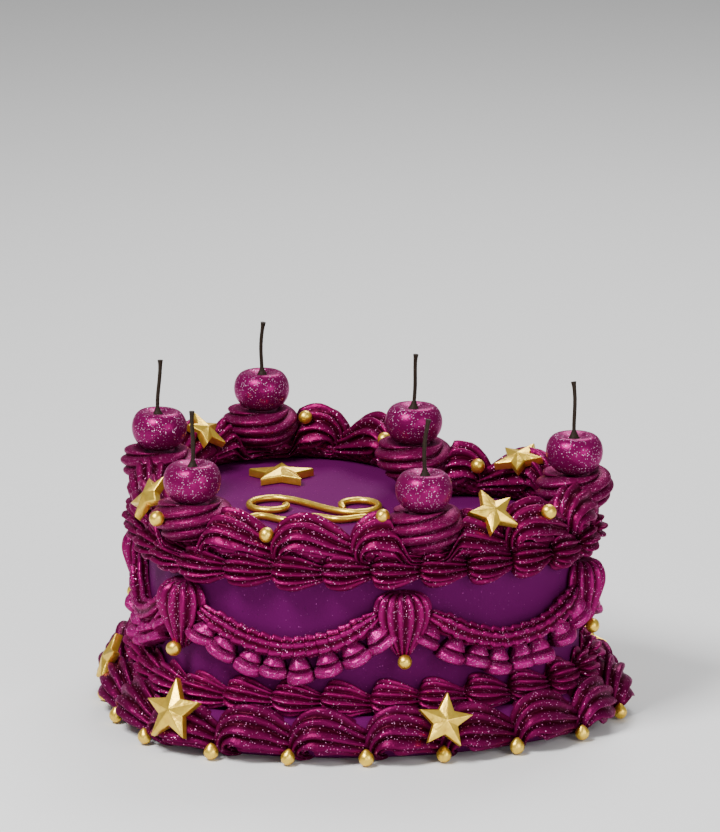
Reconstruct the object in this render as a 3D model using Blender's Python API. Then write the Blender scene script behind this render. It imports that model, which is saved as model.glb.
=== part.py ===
"""Heart-shaped iced cake: a solid body, four piped borders, wall swags and pendants,
swirls carrying cherries, gold stars and a gold piped flourish. Tip at -Y, cleft at +Y."""
import math

import bmesh
import bpy

for old in list(bpy.data.objects):
    bpy.data.objects.remove(old, do_unlink=True)

# All sizes below are in millimetres; MM turns them into metres
MM = 0.001
GAP = 0.3

# Heart outline: tip arc, flank arc, lobe arc and a small fillet in the cleft
LOBE_X = 39.8
LOBE_Y = 9.8
LOBE_R = 43.7
TIP_Y = -54.8
TIP_R = 29.3
FLANK_R = 120.0
CLEFT_R = 6.0
SHIFT_Y = 15.3

# Body and wall heights
BODY_H = 67.5
BODY_STEPS = 84
EDGE = 2.2

# Piped shell rows: count, centre height, half height, reach from the wall
SHELLS = 30
UPPER_Z = 67.2
LOWER_Z = 20.6
SHELL_HALF = 6.5
SHELL_REACH = 8.4
SHELL_FORM = ((0.0, 0.60), (0.3, 1.0))

# Piped arches: count, phase, centre line from the wall, half width, heights, ridge angles
TOP_ARCHES = 18
TOP_PHASE = 0.08
TOP_OUT = -0.5
FOOT_ARCHES = 21
FOOT_PHASE = 0.65
FOOT_OUT = 9.6
ARCH_WIDE = 8.6
TOP_TALL = 21.0
FOOT_TALL = 18.9
ARCH_RIDGES = (-75, -45, -15, 15, 45, 75, 105, 150, 215)

# One arch: share of its length, underside, top, width share, lean outwards
TOP_FORM = (
    (0.00, 1.4, 9.0, 0.74, 0.0),
    (0.06, 0.4, 14.2, 0.94, 0.0),
    (0.22, 1.6, 19.0, 1.00, 0.0),
    (0.42, 7.6, 20.4, 1.00, 0.0),
    (0.66, 5.8, 17.0, 0.92, 0.0),
    (0.86, 2.6, 11.8, 0.80, 0.0),
)
FOOT_FORM = (
    (0.00, 0.6, 8.6, 0.80, 0.0),
    (0.06, 0.2, 13.0, 0.98, 0.2),
    (0.22, 0.3, 17.4, 1.00, 1.0),
    (0.42, 0.6, 18.6, 0.98, 1.4),
    (0.66, 0.4, 15.4, 0.94, 0.9),
    (0.86, 0.4, 11.0, 0.86, 0.3),
)

# Pendants and swags on the wall, as fractions of the way from tip to cleft
PENDANT_AT = (-0.016, 0.303, 0.618, 1.0, 1.382, 1.697)
PENDANT_WIDE = 20.0
PENDANT_FORM = (
    (58.6, 0.36, 3.4),
    (56.0, 0.84, 7.4),
    (51.0, 1.0, 9.6),
    (44.5, 0.80, 8.2),
    (39.5, 0.50, 6.4),
    (36.6, 0.30, 5.4),
)
SWAG_TOP = 50.5
SWAG_LOW = 38.6
SWAG_PUFFS = 6
CLEFT_TRIM = 20.0
ROPE = 3.0
PUFF_LONG = 11.4

# Swirls, cherries and stems, as fractions of the way from tip to cleft
SWIRL_AT = (-0.014, 0.337, 0.680, 1.005, 1.372, 1.672)
SWIRL_IN = -1.9
SWIRL_R = 13.6
SWIRL_Z0 = 74.6
SWIRL_H = 11.6
SWIRL_FORM = (0.72, 0.80, 0.89, 0.95, 0.96, 0.90, 0.64)
CHERRY_R = 10.3
CHERRY_H = 15.4
CHERRY_Z0 = SWIRL_Z0 + SWIRL_H + GAP
STEM_LONG = 20.5
STEM_LEAN = ((0.05, 0.0), (0.1, 0.2), (-0.25, 0.1), (0.15, 0.1), (0.2, -0.05), (0.05, 0.1))

# Gold stars: fraction of the way, distance from the wall, height, tilt, spin, tip radius
STARS = (
    (1.509, -6.5, 84.6, -38.0, 20.0, 8.8),
    (1.892, 5.2, 84.4, 50.0, -14.0, 9.4),
    (0.435, 2.6, 85.6, 44.0, 12.0, 9.6),
    (0.834, -6.0, 85.0, -20.0, 30.0, 9.4),
    (0.012, 17.6, 16.4, 66.0, 6.0, 11.8),
    (0.347, 18.0, 15.8, 66.0, -10.0, 10.3),
    (1.790, 15.6, 17.0, 66.0, 14.0, 9.6),
    (0.780, 17.6, 13.8, 66.0, 2.0, 10.4),
    (1.330, 17.6, 13.8, 66.0, -16.0, 10.4),
)
DISC_STAR = (-51.0, 14.0, 12.6)
STAR_THICK = 4.6
STAR_WAIST = 0.46

# Gold beads: on the upper border one by one, on the foot border at each joint
BEAD_R = 2.9
TOP_BEADS = (
    (0.116, 5.0, 80.4), (0.274, 3.2, 87.2), (0.518, 4.2, 83.0), (1.924, 5.4, 78.4),
    (0.912, -2.5, 79.0), (1.126, -6.0, 80.8), (1.301, -5.5, 84.0), (1.560, 4.0, 82.0),
)

# Gold flourish on the top disc
SCRIPT_R = 1.25
SCRIPT_MID = (-14.0, -8.0)
SCRIPT_TURN = math.radians(42.7)
CURL_AT = 15.0
CURL_R = 10.0


def material(name, colour, metal, rough):
    mat = bpy.data.materials.new(name)
    mat.use_nodes = True
    shader = mat.node_tree.nodes["Principled BSDF"]
    shader.inputs["Base Color"].default_value = (*colour, 1.0)
    shader.inputs["Metallic"].default_value = metal
    shader.inputs["Roughness"].default_value = rough
    mat.diffuse_color = (*colour, 1.0)
    return mat


def half_outline(offset, fillet):
    """Arcs from tip to cleft on the right side: centre x, centre y, radius, start, end."""
    lobe = (LOBE_X, LOBE_Y)
    tip = (0.0, TIP_Y)
    near = FLANK_R - LOBE_R
    far = FLANK_R - TIP_R
    span = math.hypot(lobe[0], lobe[1] - TIP_Y)
    along = (near * near - far * far + span * span) / (2.0 * span)
    across = math.sqrt(near * near - along * along)
    ux = (tip[0] - lobe[0]) / span
    uy = (tip[1] - lobe[1]) / span
    flank = (lobe[0] + ux * along - uy * across, lobe[1] + uy * along + ux * across)
    if flank[0] > 0.0:
        flank = (lobe[0] + ux * along + uy * across, lobe[1] + uy * along - ux * across)
    turn_tip = math.atan2(tip[1] - flank[1], tip[0] - flank[0])
    turn_lobe = math.atan2(lobe[1] - flank[1], lobe[0] - flank[0])
    reach = LOBE_R + offset
    cleft_y = LOBE_Y + math.sqrt((reach + fillet) ** 2 - LOBE_X ** 2)
    turn_cleft = math.atan2(cleft_y - LOBE_Y, -LOBE_X)
    return (
        (tip[0], tip[1], TIP_R + offset, -math.pi / 2.0, turn_tip),
        (flank[0], flank[1], FLANK_R + offset, turn_tip, turn_lobe),
        (LOBE_X, LOBE_Y, reach, turn_lobe, turn_cleft),
        (0.0, cleft_y, -fillet, turn_cleft - math.pi, -math.pi / 2.0),
    )


class Track:
    """A closed line round the cake at one distance from the wall, counted from the tip."""

    def __init__(self, offset, fillet):
        self.offset = offset
        self.arcs = half_outline(offset, fillet)
        self.lengths = [abs(arc[2] * (arc[4] - arc[3])) for arc in self.arcs]
        self.half = sum(self.lengths)

    def at(self, way):
        """Point and outward direction; way is 0 at the tip, 1 at the cleft, 2 at the tip."""
        way = way % 2.0
        side = -1.0 if way > 1.0 else 1.0
        left = (2.0 - way if way > 1.0 else way) * self.half
        for arc, length in zip(self.arcs, self.lengths):
            if left <= length:
                break
            left -= length
        cx, cy, radius, start, end = arc
        angle = start + (end - start) * min(left / length, 1.0)
        sign = 1.0 if radius > 0.0 else -1.0
        x = cx + abs(radius) * math.cos(angle)
        y = cy + abs(radius) * math.sin(angle)
        return side * x, y, side * sign * math.cos(angle), sign * math.sin(angle)

    def place(self, way, out, z):
        """World point at a distance out from the wall and a height z."""
        x, y, nx, ny = self.at(way)
        step = out - self.offset
        return x + nx * step, y + ny * step + SHIFT_Y, z


def make(name, verts, faces, mat=None):
    """A closed mesh object from millimetre points, with its faces turned outwards."""
    mesh = bpy.data.meshes.new(name)
    mesh.from_pydata([(x * MM, y * MM, z * MM) for x, y, z in verts], [], faces)
    edit = bmesh.new()
    edit.from_mesh(mesh)
    bmesh.ops.recalc_face_normals(edit, faces=edit.faces)
    edit.to_mesh(mesh)
    edit.free()
    mesh.update()
    part = bpy.data.objects.new(name, mesh)
    bpy.context.scene.collection.objects.link(part)
    if mat is not None:
        mesh.materials.append(mat)
    return part


def skin(name, rings, mat=None, closed=False):
    """Skin rings of equal point counts; capped at both ends unless the row is closed."""
    count = len(rings[0])
    verts = [point for ring in rings for point in ring]
    faces = []
    rows = len(rings)
    for row in range(rows if closed else rows - 1):
        base = row * count
        following = ((row + 1) % rows) * count
        for k in range(count):
            n = (k + 1) % count
            faces.append((base + k, base + n, following + n, following + k))
    if not closed:
        faces.append(tuple(range(count)))
        faces.append(tuple(range((rows - 1) * count, rows * count)))
    return make(name, verts, faces, mat)


def apply_boolean(base, others, operation):
    """Apply one Boolean on a collection of objects, then remove them."""
    for item in [base, *others]:
        edit = bmesh.new()
        edit.from_mesh(item.data)
        bmesh.ops.triangulate(edit, faces=edit.faces)
        edit.to_mesh(item.data)
        edit.free()
    group = bpy.data.collections.new("operands")
    bpy.context.scene.collection.children.link(group)
    for item in others:
        for home in list(item.users_collection):
            home.objects.unlink(item)
        group.objects.link(item)
    boolean = base.modifiers.new("boolean", "BOOLEAN")
    boolean.operation = operation
    boolean.operand_type = "COLLECTION"
    boolean.collection = group
    boolean.solver = "MANIFOLD"
    bpy.context.view_layer.update()
    graph = bpy.context.evaluated_depsgraph_get()
    mesh = bpy.data.meshes.new_from_object(base.evaluated_get(graph))
    base.modifiers.clear()
    base.data = mesh
    for item in others:
        bpy.data.objects.remove(item, do_unlink=True)
    bpy.data.collections.remove(group)


def drop_flaps(edit):
    """Delete doubled and loose sliver faces, and crumbs cut off by a Boolean."""
    seen = {}
    for face in edit.faces:
        seen.setdefault(frozenset(vert.index for vert in face.verts), []).append(face)
    doubled = [face for group in seen.values() if len(group) > 1 for face in group]
    bmesh.ops.delete(edit, geom=doubled, context="FACES")
    loose = [face for face in edit.faces if any(edge.is_boundary for edge in face.edges)]
    bmesh.ops.delete(edit, geom=loose, context="FACES")
    left = set(edit.verts)
    while left:
        island = {left.pop()}
        front = list(island)
        while front:
            for edge in front.pop().link_edges:
                for vert in edge.verts:
                    if vert not in island:
                        island.add(vert)
                        front.append(vert)
        left -= island
        if len(island) < 12:
            bmesh.ops.delete(edit, geom=list(island), context="VERTS")


def settle(part, mat, name):
    """Split to triangles, clean up after the Booleans and give the one material."""
    edit = bmesh.new()
    edit.from_mesh(part.data)
    bmesh.ops.triangulate(edit, faces=edit.faces, ngon_method="EAR_CLIP")
    bmesh.ops.remove_doubles(edit, verts=edit.verts, dist=0.005 * MM)
    drop_flaps(edit)
    bmesh.ops.recalc_face_normals(edit, faces=edit.faces)
    edit.to_mesh(part.data)
    edit.free()
    part.data.materials.clear()
    part.data.materials.append(mat)
    part.name = name
    part.data.name = name


def bead(x, y, z):
    """A small gold ball as an icosahedron round its centre."""
    edit = bmesh.new()
    bmesh.ops.create_icosphere(edit, subdivisions=1, radius=BEAD_R * 1.06 * MM)
    bmesh.ops.translate(edit, verts=edit.verts, vec=(x * MM, y * MM, z * MM))
    mesh = bpy.data.meshes.new("bead")
    edit.to_mesh(mesh)
    edit.free()
    part = bpy.data.objects.new("bead", mesh)
    bpy.context.scene.collection.objects.link(part)
    return part


def body(mat):
    """The cake itself: a solid heart with a softened top edge."""
    track = Track(0.0, CLEFT_R)
    rings = []
    for inset, z in ((0.0, 0.0), (0.0, BODY_H - EDGE), (-EDGE, BODY_H)):
        ring = [track.place(2.0 * k / BODY_STEPS, inset, z) for k in range(BODY_STEPS)]
        rings.append(ring)
    return skin("cake_body", rings, mat)


def shell_row(name, mid_z, fit, mat):
    """A closed row of piped shells, each fat at its start and thin where the next begins."""
    track = Track(4.2, 9.0)
    inner = 0.6
    rings = []
    for shell in range(SHELLS):
        for along, size in SHELL_FORM:
            way = 2.0 * (shell + along) / SHELLS
            ring = [(inner, mid_z - 0.8 * SHELL_HALF * size)]
            for k in range(6):
                angle = math.radians(-72.0 + 28.8 * k)
                ridge = size * (1.0 if k % 2 == 0 else 0.86)
                out = inner + SHELL_REACH * ridge * math.cos(angle)
                ring.append((out, mid_z + SHELL_HALF * ridge * math.sin(angle)))
            ring.append((inner, mid_z + 0.8 * SHELL_HALF * size))
            rings.append([track.place(way, out, fit(out, z)) for out, z in ring])
    return skin(name, rings, mat, closed=True)


def arch_row(track, count, phase, form, base_z, fit):
    """A closed row of ridged arches, each rising steeply and tailing off into the next."""
    rings = []
    for arch in range(count):
        for share, low, high, wide, lean in form:
            way = 2.0 * (arch + phase + share) / count
            ring = []
            for k, degrees in enumerate(ARCH_RIDGES):
                angle = math.radians(degrees)
                ridge = 1.0 if k % 2 == 0 else 0.86
                out = track.offset + lean + ARCH_WIDE * wide * ridge * math.cos(angle)
                up = 0.5 * (low + high) + 0.5 * (high - low) * ridge * math.sin(angle)
                x, y, z = track.place(way, out, base_z + up)
                ring.append((x, y, fit(x, y, z, out)))
            rings.append(ring)
    return skin("arches", rings, closed=True)


def star_solid(centre, normal_way, tilt, spin, size, grow, name):
    """A faceted five-pointed star; tilt 0 lies flat, 90 faces along normal_way."""
    nx, ny = normal_way
    across = (-ny, nx, 0.0)
    face = (nx * math.sin(tilt), ny * math.sin(tilt), math.cos(tilt))
    upward = (
        face[1] * across[2] - face[2] * across[1],
        face[2] * across[0] - face[0] * across[2],
        face[0] * across[1] - face[1] * across[0],
    )
    verts = []
    half = STAR_THICK / 2.0 + grow
    for level, scale in ((-half, 1.0), (0.25 * half, 1.0)):
        for k in range(10):
            angle = spin + math.pi * k / 5.0
            radius = (size if k % 2 == 0 else size * STAR_WAIST) * scale + grow * 1.4
            a = radius * math.cos(angle)
            b = radius * math.sin(angle)
            verts.append(tuple(centre[i] + across[i] * a + upward[i] * b + face[i] * level
                               for i in range(3)))
    verts.append(tuple(centre[i] + face[i] * half for i in range(3)))
    faces = [tuple(range(10))]
    for k in range(10):
        n = (k + 1) % 10
        faces.append((k, n, 10 + n, 10 + k))
        faces.append((10 + k, 10 + n, 20))
    return make(name, verts, faces)


def star_at(index, grow, name):
    way, out, z, tilt, spin, size = STARS[index]
    track = Track(0.0, CLEFT_R)
    x, y, nx, ny = track.at(way)
    centre = (x + nx * out, y + ny * out + SHIFT_Y, z)
    return star_solid(centre, (nx, ny), math.radians(tilt), math.radians(spin + 90.0),
                      size, grow, name)


def swirl_seat(way):
    """Room for one swirl in the upper border."""
    x, y, z = Track(0.0, CLEFT_R).place(way, SWIRL_IN, SWIRL_Z0 - GAP)
    rings = []
    for level, share in ((z, 0.86), (z + 0.4 * SWIRL_H, 1.03), (z + 30.0, 1.03)):
        ring = []
        for k in range(12):
            angle = 2.0 * math.pi * k / 12
            reach = SWIRL_R * share + GAP
            ring.append((x + reach * math.cos(angle), y + reach * math.sin(angle), level))
        rings.append(ring)
    return skin("seat", rings)


def over_shells(x, y, z, out):
    """Fit an upper arch over the disc and the shells, low where a swirl sits on it."""
    near = min(math.hypot(x - sx, y - sy) for sx, sy in SWIRL_MIDS)
    share = min(1.0, max(0.0, (near - 12.5) / 5.5))
    floor = max(BODY_H + GAP, 70.7 + 0.75 * out)
    top = max(BODY_H + TOP_TALL * (0.36 + 0.64 * share), floor + 1.5)
    return floor + (z - BODY_H) / TOP_TALL * (top - floor)


def under_arches(out, z):
    return min(z, 70.2 + 0.75 * out)


def over_foot(out, z):
    return max(z, 10.6 + 0.77 * out)


def under_shells(x, y, z, out):
    """Fit a foot arch between the floor and the underside of the lower shells."""
    top = min(FOOT_TALL, 10.1 + 0.77 * out)
    return 0.15 + z / FOOT_TALL * (top - 0.15)


def upper_arches(mat):
    border = arch_row(Track(TOP_OUT, 12.0), TOP_ARCHES, TOP_PHASE, TOP_FORM, BODY_H, over_shells)
    wall = Track(0.0, CLEFT_R)
    apply_boolean(border, [bead(*wall.place(*spot)) for spot in TOP_BEADS], "UNION")
    seats = [swirl_seat(way) for way in SWIRL_AT]
    seats += [star_at(index, GAP, "seat") for index in range(4)]
    apply_boolean(border, seats, "DIFFERENCE")
    settle(border, mat, "upper_arch_border")


def foot_arches(mat):
    track = Track(FOOT_OUT, 12.0)
    border = arch_row(track, FOOT_ARCHES, FOOT_PHASE, FOOT_FORM, 0.0, under_shells)
    spots = [2.0 * (k + FOOT_PHASE) / FOOT_ARCHES for k in range(FOOT_ARCHES)]
    apply_boolean(border, [bead(*track.place(way, 16.4, 3.5)) for way in spots], "UNION")
    seats = [star_at(index, GAP, "seat") for index in range(4, len(STARS))]
    apply_boolean(border, seats, "DIFFERENCE")
    settle(border, mat, "foot_arch_border")


def pendant(index, mat):
    """A ridged drop on the wall with a gold bead at its foot."""
    track = Track(0.0, CLEFT_R if PENDANT_AT[index] != 1.0 else 14.0)
    way = PENDANT_AT[index]
    rings = []
    for z, wide, thick in PENDANT_FORM:
        reach = 0.5 * PENDANT_WIDE * wide
        ring = [(0.0, 0.7), (-0.9 * reach, 0.7)]
        for k in range(7):
            angle = math.radians(-72.0 + 24.0 * k)
            ridge = 1.0 if k % 2 == 0 else 0.87
            ring.append((reach * ridge * math.sin(angle), 0.7 + thick * ridge * math.cos(angle)))
        ring.append((0.9 * reach, 0.7))
        rings.append([track.place(way + s / track.half, out, z) for s, out in ring])
    name = "pendant_%d" % (index + 1)
    drop = skin(name, rings)
    apply_boolean(drop, [bead(*track.place(way, 6.6, 35.4))], "UNION")
    settle(drop, mat, name)


def swag(index, mat):
    """A rope hanging between two pendants with a row of ruffled puffs under it."""
    begin = PENDANT_AT[index]
    end = PENDANT_AT[(index + 1) % len(PENDANT_AT)]
    if end <= begin:
        end += 2.0
    track = Track(0.0, CLEFT_R)
    trim = (0.5 * PENDANT_WIDE + 0.9) / track.half
    begin += CLEFT_TRIM / track.half if begin == 1.0 else trim
    end -= CLEFT_TRIM / track.half if end == 1.0 else trim
    rings = []
    rows = 2 * SWAG_PUFFS
    for row in range(rows + 1):
        t = row / rows
        bow = (2.0 * t - 1.0) ** 2
        z = SWAG_LOW + (SWAG_TOP - SWAG_LOW) * bow
        slope = 4.0 * (2.0 * t - 1.0) * (SWAG_TOP - SWAG_LOW) / ((end - begin) * track.half)
        drop_s = slope / math.hypot(1.0, slope)
        drop_z = -1.0 / math.hypot(1.0, slope)
        puff = 1.0 if row % 2 == 1 else 0.66
        long = PUFF_LONG * (1.0 if row % 2 == 1 else 0.86) * (1.0 - 0.25 * bow)
        shape = (
            (-ROPE, 0.6),
            (-0.7 * ROPE, 4.6),
            (0.2 * ROPE, 6.0),
            (1.15 * ROPE, 4.2 * (0.7 + 0.3 * puff)),
            (0.45 * long + 1.0, 6.2 * puff),
            (0.62 * long + 1.0, 5.0 * puff),
            (0.86 * long, 7.4 * puff),
            (long, 4.8 * puff),
            (0.97 * long, 0.6),
        )
        ring = []
        for down, out in shape:
            ends = 0.35 * trim * track.half * drop_s * down / PUFF_LONG
            way = begin + (end - begin) * t + (drop_s * down * 0.3 - ends) / track.half
            ring.append(track.place(way, out, z + drop_z * down))
        rings.append(ring)
    return skin("swag_%d" % (index + 1), rings, mat)


def swirl(index, mat):
    """A mound of icing with one groove winding up it."""
    x, y, z0 = Track(0.0, CLEFT_R).place(SWIRL_AT[index], SWIRL_IN, SWIRL_Z0)
    rings = []
    steps = 10
    for level in range(len(SWIRL_FORM)):
        v = level / (len(SWIRL_FORM) - 1)
        mean = SWIRL_R * SWIRL_FORM[level]
        ring = []
        for k in range(steps):
            turn = k / steps
            fade = min(1.0, 4.0 * v, 4.0 * (1.0 - v))
            radius = mean + 0.9 * fade * math.cos(2.0 * math.pi * (2.6 * v - turn))
            angle = 2.0 * math.pi * turn
            ring.append((x + radius * math.cos(angle), y + radius * math.sin(angle),
                         z0 + SWIRL_H * v))
        rings.append(ring)
    return skin("swirl_%d" % (index + 1), rings, mat)


def cherry(index, mat):
    """A plump cherry with a dimple where its stem stands."""
    x, y, z0 = Track(0.0, CLEFT_R).place(SWIRL_AT[index], SWIRL_IN, CHERRY_Z0)
    form = ((0.35, 0.0), (0.80, 0.16), (1.0, 0.46), (0.92, 0.78), (0.50, 1.0), (0.14, 0.88))
    rings = []
    for reach, height in form:
        ring = []
        for k in range(9):
            angle = 2.0 * math.pi * (k + 0.5) / 9
            radius = CHERRY_R * reach
            ring.append((x + radius * math.cos(angle), y + radius * math.sin(angle),
                         z0 + CHERRY_H * height))
        rings.append(ring)
    return skin("cherry_%d" % (index + 1), rings, mat)


def stem(index, mat):
    """A thin bent stem, flared a little at both ends."""
    x, y, z0 = Track(0.0, CLEFT_R).place(SWIRL_AT[index], SWIRL_IN, CHERRY_Z0)
    foot = z0 + CHERRY_H * 0.88 + GAP
    lean_x, lean_y = STEM_LEAN[index]
    rings = []
    for v, radius in ((0.0, 1.1), (0.12, 0.75), (0.5, 0.65), (0.93, 0.75), (1.0, 1.0)):
        bend = 6.0 * v * v
        ring = []
        for k in range(6):
            angle = 2.0 * math.pi * k / 6
            ring.append((x + lean_x * bend + radius * math.cos(angle),
                         y + lean_y * bend + radius * math.sin(angle), foot + STEM_LONG * v))
        rings.append(ring)
    return skin("stem_%d" % (index + 1), rings, mat)


def star(index, mat):
    part = star_at(index, 0.0, "star_%d" % (index + 1))
    part.data.materials.append(mat)
    return part


def disc_star(mat):
    """The one star that lies flat on the top of the cake."""
    x, y, size = DISC_STAR
    centre = (x, y + SHIFT_Y, BODY_H + GAP + STAR_THICK / 2.0)
    turn = (math.sin(SCRIPT_TURN), -math.cos(SCRIPT_TURN))
    part = star_solid(centre, turn, 0.0, math.radians(90.0), size, 0.0, "star_%d" % (len(STARS) + 1))
    part.data.materials.append(mat)
    return part


def cord(name, line, mat):
    """A round cord laid along a flat line on the top disc, thin at both ends."""
    cos_t = math.cos(SCRIPT_TURN)
    sin_t = math.sin(SCRIPT_TURN)
    last = len(line) - 1
    rings = []
    for row, (a, b) in enumerate(line):
        before = line[max(row - 1, 0)]
        after = line[min(row + 1, last)]
        run = (after[0] - before[0], after[1] - before[1])
        size = math.hypot(*run)
        side = (-run[1] / size, run[0] / size)
        thick = SCRIPT_R * (0.62 if row in (0, last) else 1.0)
        ring = []
        for k in range(6):
            angle = 2.0 * math.pi * (k + 0.5) / 6
            p = a + side[0] * thick * math.cos(angle)
            q = b + side[1] * thick * math.cos(angle)
            ring.append((SCRIPT_MID[0] + p * cos_t - q * sin_t,
                         SCRIPT_MID[1] + p * sin_t + q * cos_t + SHIFT_Y,
                         BODY_H + GAP + thick * (1.0 + math.sin(angle))))
        rings.append(ring)
    return skin(name, rings, mat)


def scroll_line(steps):
    """A long S that ends in a curl at each end."""
    line = []
    middle = 0.36
    for k in range(steps + 1):
        t = 2.0 * k / steps - 1.0
        sign = 1.0 if t >= 0.0 else -1.0
        if abs(t) < middle:
            line.append((CURL_AT * t / middle, -CURL_R * math.sin(0.5 * math.pi * t / middle)))
        else:
            part = (abs(t) - middle) / (1.0 - middle)
            curl = CURL_R * (1.0 - 0.55 * part)
            wind = 5.2 * part - 0.5 * math.pi
            line.append((sign * (CURL_AT + curl * math.cos(wind)), sign * curl * math.sin(wind)))
    return line


def wave_line(steps):
    """A wavy underline that grows calm to the right."""
    line = []
    for k in range(steps + 1):
        t = k / steps
        calm = 1.0 - 0.6 * t
        line.append((-24.0 + 48.0 * t, -17.6 + 3.2 * calm * math.sin(2.0 * math.pi * 2.5 * t)))
    return line


SWIRL_MIDS = [Track(0.0, CLEFT_R).place(way, SWIRL_IN, 0.0)[:2] for way in SWIRL_AT]


def build():
    cake = material("iced_cake", (0.11, 0.012, 0.085), 0.0, 0.6)
    piping = material("piped_icing", (0.22, 0.008, 0.09), 0.0, 0.5)
    mound = material("swirl_icing", (0.24, 0.02, 0.14), 0.0, 0.55)
    fruit = material("glitter_cherry", (0.22, 0.015, 0.12), 0.0, 0.4)
    wood = material("cherry_stem", (0.03, 0.018, 0.012), 0.0, 0.7)
    gold = material("gold_icing", (0.62, 0.38, 0.09), 0.9, 0.35)
    body(cake)
    shell_row("upper_shell_border", UPPER_Z, under_arches, piping)
    shell_row("lower_shell_border", LOWER_Z, over_foot, piping)
    upper_arches(piping)
    foot_arches(piping)
    for index in range(len(PENDANT_AT)):
        pendant(index, piping)
        swag(index, piping)
    for index in range(len(SWIRL_AT)):
        swirl(index, mound)
        cherry(index, fruit)
        stem(index, wood)
    for index in range(len(STARS)):
        star(index, gold)
    disc_star(gold)
    cord("flourish_scroll", scroll_line(24), gold)
    cord("flourish_wave", wave_line(16), gold)


build()
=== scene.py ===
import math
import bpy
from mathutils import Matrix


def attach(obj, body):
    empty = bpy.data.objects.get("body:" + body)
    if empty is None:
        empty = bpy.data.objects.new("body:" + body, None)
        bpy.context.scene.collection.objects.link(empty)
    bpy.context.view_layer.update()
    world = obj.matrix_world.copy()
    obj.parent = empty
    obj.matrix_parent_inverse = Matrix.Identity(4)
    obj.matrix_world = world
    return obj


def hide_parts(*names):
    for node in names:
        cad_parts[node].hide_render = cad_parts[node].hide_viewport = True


bl_info = {
    "name": "Heart-shaped iced cake",
    "version": (1, 0, 0),
    "blender": (4, 5, 0),
    "location": "View3D > Sidebar > Cake",
    "description": "Piped icing, cherries and gold decorations for a heart-shaped cake",
    "category": "Add Mesh",
}

from typing import NamedTuple

import bmesh
import bpy
import numpy as np
from mathutils import Matrix, Vector
from mathutils.bvhtree import BVHTree

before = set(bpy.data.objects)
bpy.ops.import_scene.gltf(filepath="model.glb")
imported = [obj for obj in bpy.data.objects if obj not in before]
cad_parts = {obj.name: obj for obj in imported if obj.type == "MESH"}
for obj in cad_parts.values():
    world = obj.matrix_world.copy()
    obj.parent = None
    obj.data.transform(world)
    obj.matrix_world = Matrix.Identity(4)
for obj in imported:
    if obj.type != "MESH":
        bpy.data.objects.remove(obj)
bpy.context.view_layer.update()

# Sizes in millimetres, the same as the solid model's; MM turns them into metres
MM = 0.001

# The heart from above: two lobes, a rounded tip, bowed flanks and a rounded cleft
LOBE_X, LOBE_Y, LOBE_R = 39.8, 9.8, 43.7
TIP_Y, TIP_R = -54.8, 29.3
FLANK_R = 120.0
CLEFT_R = 6.0
SHIFT_Y = 15.3
BODY_H, EDGE = 67.5, 2.2

# Borders; a phase is a share of one arch, and a fillet is the inner round at the cleft
SHELLS, SHELL_HALF, SHELL_REACH = 30, 6.5, 8.4
SHELL_MID, SHELL_FILLET = 4.2, 9.0
UPPER_Z, LOWER_Z = 67.2, 20.6
TOP_ARCHES, TOP_PHASE, TOP_OUT = 18, 0.08, -0.5
FOOT_ARCHES, FOOT_PHASE, FOOT_OUT = 21, 0.65, 9.6
ARCH_FILLET = 12.0

# Strokes of piped icing: way along, height, half thickness, half depth, lean outwards
TOP_STROKE = (
    (9.0, 5.0, 0.8, 1.4, -3.4), (7.4, 3.4, 1.8, 3.0, -2.2), (5.0, 3.4, 2.8, 4.6, -0.4),
    (3.5, 6.3, 3.6, 6.0, 0.8), (4.6, 10.0, 4.9, 7.2, 0.5), (7.9, 12.4, 6.9, 8.2, 0.2),
    (12.0, 12.5, 8.0, 8.6, 0.0), (16.4, 11.2, 7.6, 8.2, -0.2), (20.6, 9.4, 6.5, 7.4, -0.4),
    (24.6, 7.6, 5.3, 6.2, -0.8), (28.6, 6.1, 4.2, 5.0, -1.2), (32.0, 4.8, 2.6, 3.4, -1.6),
)
FOOT_STROKE = (
    (8.8, 2.8, 0.8, 1.4, -4.0), (7.0, 1.6, 1.9, 3.0, -2.6), (4.8, 2.4, 2.9, 4.6, -0.6),
    (3.3, 5.3, 3.6, 6.0, 1.2), (4.5, 9.2, 5.0, 7.4, 1.4), (7.4, 11.9, 7.0, 8.4, 1.4),
    (11.2, 12.2, 8.2, 8.8, 1.4), (15.4, 11.1, 8.1, 8.4, 1.0), (19.6, 9.4, 7.0, 7.6, 0.4),
    (23.6, 7.7, 5.9, 6.4, 0.0), (27.4, 6.2, 4.7, 5.2, -0.6), (30.6, 4.8, 3.0, 3.6, -1.2),
)

# Places along the wall are counted from 0 at the tip to 1 at the cleft and back to 2 at the tip
PENDANT_AT = (-0.016, 0.303, 0.618, 1.0, 1.382, 1.697)
PENDANT_WIDE, PENDANT_FILLET = 20.0, 14.0
SWAG_TOP, SWAG_LOW, CLEFT_TRIM = 50.5, 38.6, 20.0
ROPE_R, ROPE_OUT, ROPE_NOTCH = 4.2, 3.4, 4.2
PUFF_LONG = 12.2
SWIRL_AT = (-0.014, 0.337, 0.680, 1.005, 1.372, 1.672)
SWIRL_IN, SWIRL_R, SWIRL_Z0, SWIRL_H = -1.9, 13.6, 74.6, 11.6
SEAT_R, SEAT_BLEND, SEAT_TALL = 10.0, 4.5, 0.34
CHERRY_R, CHERRY_H, CHERRY_Z0 = 10.3, 15.4, 86.5
STEM_LONG = 20.5
STEM_LEAN = ((0.05, 0.0), (0.1, 0.2), (-0.25, 0.1), (0.15, 0.1), (0.2, -0.05), (0.05, 0.1))

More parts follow.
